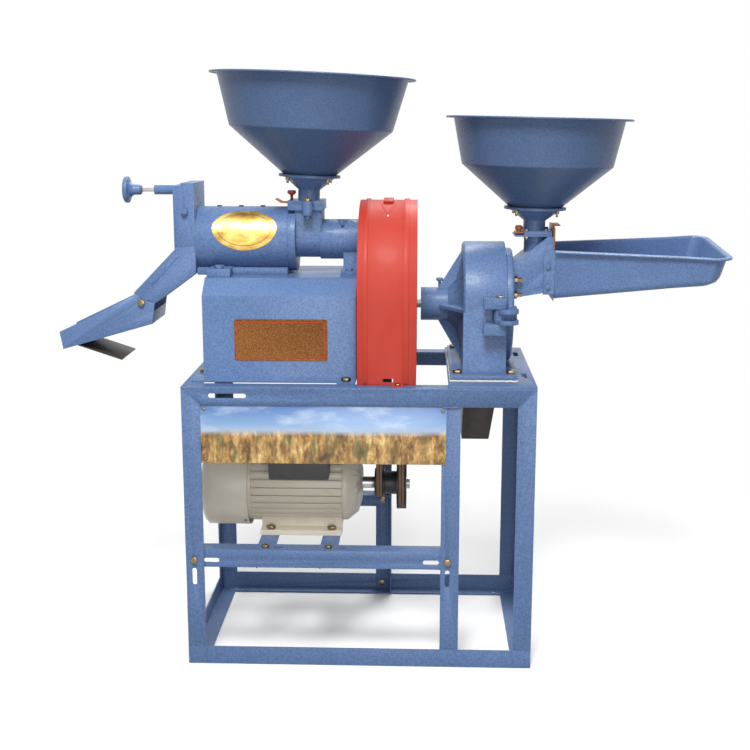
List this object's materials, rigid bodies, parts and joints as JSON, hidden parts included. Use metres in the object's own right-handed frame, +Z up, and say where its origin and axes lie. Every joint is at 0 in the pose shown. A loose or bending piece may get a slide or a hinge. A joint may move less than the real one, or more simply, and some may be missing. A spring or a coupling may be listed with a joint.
{
  "type": "corn grinder",
  "caption": "Electric corn grinder and rice mill with hoppers, feed trough, belt guard and motor on an open angle-steel frame.",
  "frame": {"origin": "on the floor, at the middle of the frame's footprint and of its floor bolts", "axes": "+X from the rice outlet to the feed trough, +Y away from the operator, +Z up"},
  "size_m": [1.329, 0.4346, 1.1608],
  "materials": {
    "frame_blue": "hammered gloss paint",
    "panel_sheet": "printed sheet",
    "zinc_bolts": "yellow zinc",
    "motor_paint": "satin",
    "motor_dark": "satin",
    "fan_plastic": "matte",
    "bare_steel": "bright",
    "pulley_iron": "black",
    "belt_rubber": "matte",
    "guard_red": "satin",
    "machine_blue": "hammered gloss paint",
    "cast_parts": "as cast",
    "red_paint": "gloss",
    "gate_orange": "primer"
  },
  "bodies": {
    "machine": {"top_long_rails": "frame_blue", "top_side_rails": "frame_blue", "bottom_long_rails": "frame_blue", "bottom_side_rails": "frame_blue", "corner_legs": "frame_blue", "front_post": "frame_blue", "back_post": "frame_blue", "mill_crossbar": "frame_blue", "motor_rails": "frame_blue", "motor_cross_bars": "frame_blue", "grinder_plate": "frame_blue", "front_panel": "panel_sheet", "frame_bolts": "zinc_bolts", "mounting_bolts": "zinc_bolts", "motor_stator": "motor_paint", "motor_end_shields": "motor_paint", "motor_fan_cover": "motor_paint", "motor_terminal_box": "motor_dark", "hinge_pins": "bare_steel", "pressure_spring": "bare_steel", "mill_sieve": "bare_steel", "grinder_screen": "bare_steel", "shaft_bearings": "bare_steel", "mill_belt": "belt_rubber", "grinder_belt": "belt_rubber", "belt_guard": "guard_red", "mill_base": "machine_blue", "mill_barrel": "machine_blue", "mill_feed_housing": "machine_blue", "mill_bearing_housing": "machine_blue", "mill_hopper": "machine_blue", "mill_hopper_neck": "machine_blue", "outlet_box": "machine_blue", "outlet_chute": "machine_blue", "grinder_body": "machine_blue", "discharge_spout": "machine_blue"},
    "motor_rotor": {"motor_shaft": "bare_steel", "motor_fan": "fan_plastic", "motor_pulley": "pulley_iron"},
    "mill_rotor": {"mill_shaft": "bare_steel", "milling_roller": "cast_parts", "mill_pulley": "pulley_iron"},
    "grinder_rotor_set": {"grinder_shaft": "bare_steel", "grinder_rotor": "cast_parts", "grinder_pulley": "pulley_iron"},
    "door": {"grinder_door": "machine_blue", "grinder_throat": "machine_blue", "grinder_trough": "machine_blue", "grinder_hopper": "machine_blue", "grinder_hopper_neck": "machine_blue", "door_bolts": "zinc_bolts"},
    "trough_gate": {"trough_feed_gate": "gate_orange"},
    "hopper_gate": {"hopper_slide_gate": "gate_orange"},
    "latch": {"latch_bolt": "bare_steel"},
    "mill_gate": {"mill_feed_gate": "gate_orange"},
    "thumb_screw": {"gate_thumb_screw": "red_paint"},
    "flap": {"pressure_flap": "machine_blue"},
    "pressure_rod_body": {"pressure_rod": "bare_steel"},
    "handwheel": {"pressure_handwheel": "machine_blue"},
    "chute": {"swing_chute": "machine_blue"}
  },
  "joints": [
    {"name": "motor_spin", "type": "hinge", "parent": "machine", "child": "motor_rotor", "pos_m": [-0.1, -0.022, 0.324], "axis": [1, 0, 0], "continuous": true},
    {"name": "mill_spin", "type": "hinge", "parent": "machine", "child": "mill_rotor", "pos_m": [-0.1, 0, 0.829], "axis": [1, 0, 0], "continuous": true},
    {"name": "grinder_spin", "type": "hinge", "parent": "machine", "child": "grinder_rotor_set", "pos_m": [0.16, 0, 0.698], "axis": [1, 0, 0], "continuous": true},
    {"name": "door_hinge", "type": "hinge", "parent": "machine", "child": "door", "pos_m": [0.271, -0.142, 0.695], "axis": [0, 0, -1], "range_deg": [0, 100]},
    {"name": "trough_gate_slide", "type": "slide", "parent": "door", "child": "trough_gate", "axis": [0, 0, 1], "range_m": [0, 0.012]},
    {"name": "hopper_gate_slide", "type": "slide", "parent": "door", "child": "hopper_gate", "axis": [-1, 0, 0], "range_m": [0, 0.045]},
    {"name": "latch_hinge", "type": "hinge", "parent": "machine", "child": "latch", "pos_m": [0.271, 0.142, 0.698], "axis": [0, 0, -1], "range_deg": [0, 90]},
    {"name": "mill_gate_slide", "type": "slide", "parent": "machine", "child": "mill_gate", "axis": [-1, 0, 0], "range_m": [0, 0.045]},
    {"name": "thumb_screw_turn", "type": "hinge", "parent": "machine", "child": "thumb_screw", "pos_m": [-0.1435, 0, 0.91], "axis": [0, 0, 1], "range_deg": [0, 180]},
    {"name": "flap_hinge", "type": "hinge", "parent": "machine", "child": "flap", "pos_m": [-0.351, 0, 0.8865], "axis": [0, 1, 0], "range_deg": [0, 12]},
    {"name": "pressure_rod_slide", "type": "slide", "parent": "machine", "child": "pressure_rod_body", "axis": [1, 0, 0], "range_m": [0, 0.0085], "stiffness_N_per_m": 1500, "deforming": ["pressure_spring"]},
    {"name": "handwheel_turn", "type": "hinge", "parent": "pressure_rod_body", "child": "handwheel", "pos_m": [-0.46, 0, 0.927], "axis": [1, 0, 0], "continuous": true},
    {"name": "chute_swing", "type": "hinge", "parent": "machine", "child": "chute", "pos_m": [-0.443, 0, 0.706], "axis": [0, 1, 0], "range_deg": [-15, 25]}
  ],
  "couplings": [
    {"joint": "mill_spin", "follows": "motor_spin", "ratio": 0.426},
    {"joint": "grinder_spin", "follows": "motor_spin", "ratio": 2.174},
    {"joint": "pressure_rod_slide", "follows": "flap_hinge", "m_per_rad": 0.0405}
  ]
}
